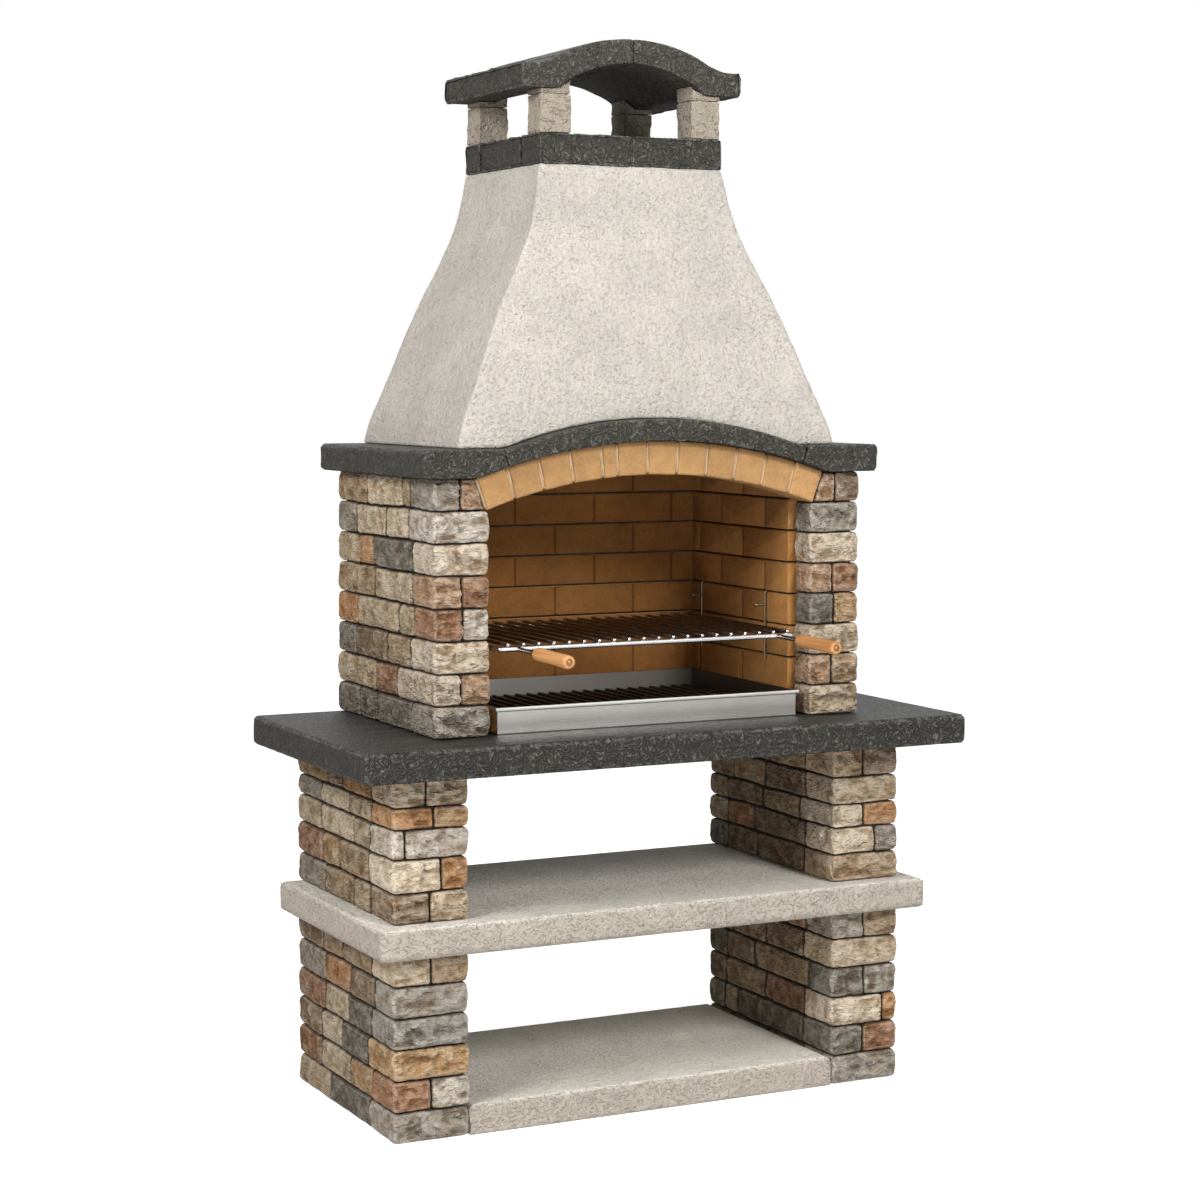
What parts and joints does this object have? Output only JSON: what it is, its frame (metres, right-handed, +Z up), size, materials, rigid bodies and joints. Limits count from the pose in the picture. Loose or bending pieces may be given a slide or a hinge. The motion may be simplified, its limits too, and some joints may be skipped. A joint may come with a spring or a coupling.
{
  "type": "masonry barbecue",
  "caption": "Tall outdoor barbecue of split stone piers and concrete slabs, with open shelves, an arched firebrick hearth, a sliding grill, an ember tray and a hooded chimney.",
  "frame": {"origin": "on the floor, at the middle of the base slab's underside", "axes": "+X to the right seen from the front, +Y to the back, +Z up"},
  "size_m": [1.55, 0.8825, 2.498],
  "materials": {
    "pale_concrete": "matte",
    "hood_render": "matte",
    "dark_concrete": "matte",
    "split_stone": "matte",
    "backing_concrete": "matte",
    "firebrick": "matte",
    "arch_firebrick": "matte",
    "stainless_steel": "satin",
    "grate_steel": "matte",
    "bright_steel": "polished",
    "turned_wood": "satin",
    "hanger_steel": "satin"
  },
  "bodies": {
    "masonry": {"arch_bricks": "arch_firebrick", "base_slab": "pale_concrete", "cap_left_half": "dark_concrete", "cap_right_half": "dark_concrete", "chimney_post_front_left": "pale_concrete", "chimney_post_front_right": "pale_concrete", "chimney_post_rear_left": "pale_concrete", "chimney_post_rear_right": "pale_concrete", "collar_blocks": "dark_concrete", "grill_hanger_front_left": "hanger_steel", "grill_hanger_front_right": "hanger_steel", "grill_hanger_rear_left": "hanger_steel", "grill_hanger_rear_right": "hanger_steel", "hood": "hood_render", "left_backing_panel": "backing_concrete", "left_firebox_stones": "split_stone", "left_firebricks": "firebrick", "left_lower_pier": "split_stone", "left_upper_pier": "split_stone", "mantel_arch_block": "dark_concrete", "mantel_left_block": "dark_concrete", "mantel_rear_block": "dark_concrete", "mantel_right_block": "dark_concrete", "post_wedge_front_left": "pale_concrete", "post_wedge_front_right": "pale_concrete", "post_wedge_rear_left": "pale_concrete", "post_wedge_rear_right": "pale_concrete", "rear_backing_panel": "backing_concrete", "rear_firebricks": "firebrick", "right_backing_panel": "backing_concrete", "right_firebox_stones": "split_stone", "right_firebricks": "firebrick", "right_lower_pier": "split_stone", "right_upper_pier": "split_stone", "shelf_slab": "pale_concrete", "worktop_slab": "dark_concrete"},
    "tray": {"ember_tray": "stainless_steel"},
    "coal_grate": {"coal_grate_rails": "grate_steel", "coal_grate_bars": "grate_steel"},
    "grill": {"grill_frame": "bright_steel", "grill_wires": "bright_steel", "left_handle_tang": "bright_steel", "right_handle_tang": "bright_steel", "left_handle_grip": "turned_wood", "right_handle_grip": "turned_wood", "left_handle_rivet": "bright_steel", "right_handle_rivet": "bright_steel"}
  },
  "joints": [
    {"name": "tray_slide", "type": "slide", "parent": "masonry", "child": "tray", "axis": [0, -1, 0], "range_m": [0, 0.35]},
    {"name": "coal_grate_lift", "type": "slide", "parent": "tray", "child": "coal_grate", "axis": [0, 0, 1], "range_m": [0, 0.06]},
    {"name": "grill_slide", "type": "slide", "parent": "masonry", "child": "grill", "axis": [0, -1, 0], "range_m": [0, 0.3]}
  ]
}
